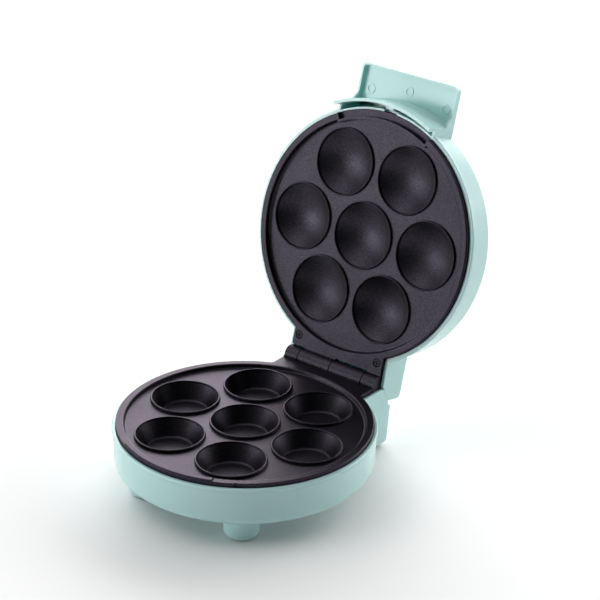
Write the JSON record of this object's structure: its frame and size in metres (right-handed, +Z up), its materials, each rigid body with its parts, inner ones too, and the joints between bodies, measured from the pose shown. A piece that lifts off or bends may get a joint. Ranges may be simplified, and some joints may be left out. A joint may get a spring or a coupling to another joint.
{
  "type": "cupcake maker",
  "caption": "Countertop electric cupcake maker: round hinged housing with a cupped lower plate, a matching domed plate in the lid, open-backed front handle, front feet and rear stand.",
  "frame": {"origin": "centre of the bounding box on the table plane, with the lid open at its stop", "axes": "+Z up, -Y towards the front where the handle closes, X along the hinge pin"},
  "size_m": [0.2038, 0.305, 0.2779],
  "materials": {
    "mint_plastic": "high gloss moulded plastic, pale mint",
    "nonstick": "die-cast aluminium with a fine speckled non-stick coating, satin",
    "steel": "zinc plated steel",
    "dark_steel": "blackened steel",
    "rubber": "matt rubber",
    "black_plastic": "matt moulded plastic",
    "element_sheath": "heat-darkened steel sheath",
    "bright_sheet": "bright aluminised sheet",
    "thermostat_body": "brown phenolic body",
    "ceramic": "glazed steatite",
    "wire_sleeve": "glass-braid sleeved wire",
    "red_lens": "translucent red moulding",
    "green_lens": "translucent green moulding",
    "lamp_glass": "clear glass"
  },
  "bodies": {
    "base": {"base_housing": "mint_plastic", "lower_plate": "nonstick", "hinge_pin": "steel", "stand_cover": "mint_plastic", "stand_cover_screws": "dark_steel", "plate_screws": "dark_steel", "front_pads": "rubber", "rear_pads": "rubber", "cord_gland": "black_plastic", "lower_heating_element": "element_sheath", "lower_element_terminals": "steel", "lower_reflector": "bright_sheet", "lower_reflector_screw": "steel", "thermostat": "thermostat_body", "thermostat_screws": "steel", "thermal_fuse": "steel", "terminal_block": "ceramic", "base_wires": "wire_sleeve"},
    "lid": {"lid_housing": "mint_plastic", "upper_plate": "nonstick", "tab_screws": "dark_steel", "upper_heating_element": "element_sheath", "upper_element_terminals": "steel", "upper_reflector": "bright_sheet", "upper_reflector_screw": "steel", "power_lens": "red_lens", "ready_lens": "green_lens", "indicator_lamps": "lamp_glass", "lid_wires": "wire_sleeve"}
  },
  "joints": [
    {"name": "lid_hinge", "type": "hinge", "parent": "base", "child": "lid", "pos_m": [0, 0.05781, 0.0552], "axis": [1, 0, 0], "range_deg": [0, 105.96]}
  ]
}
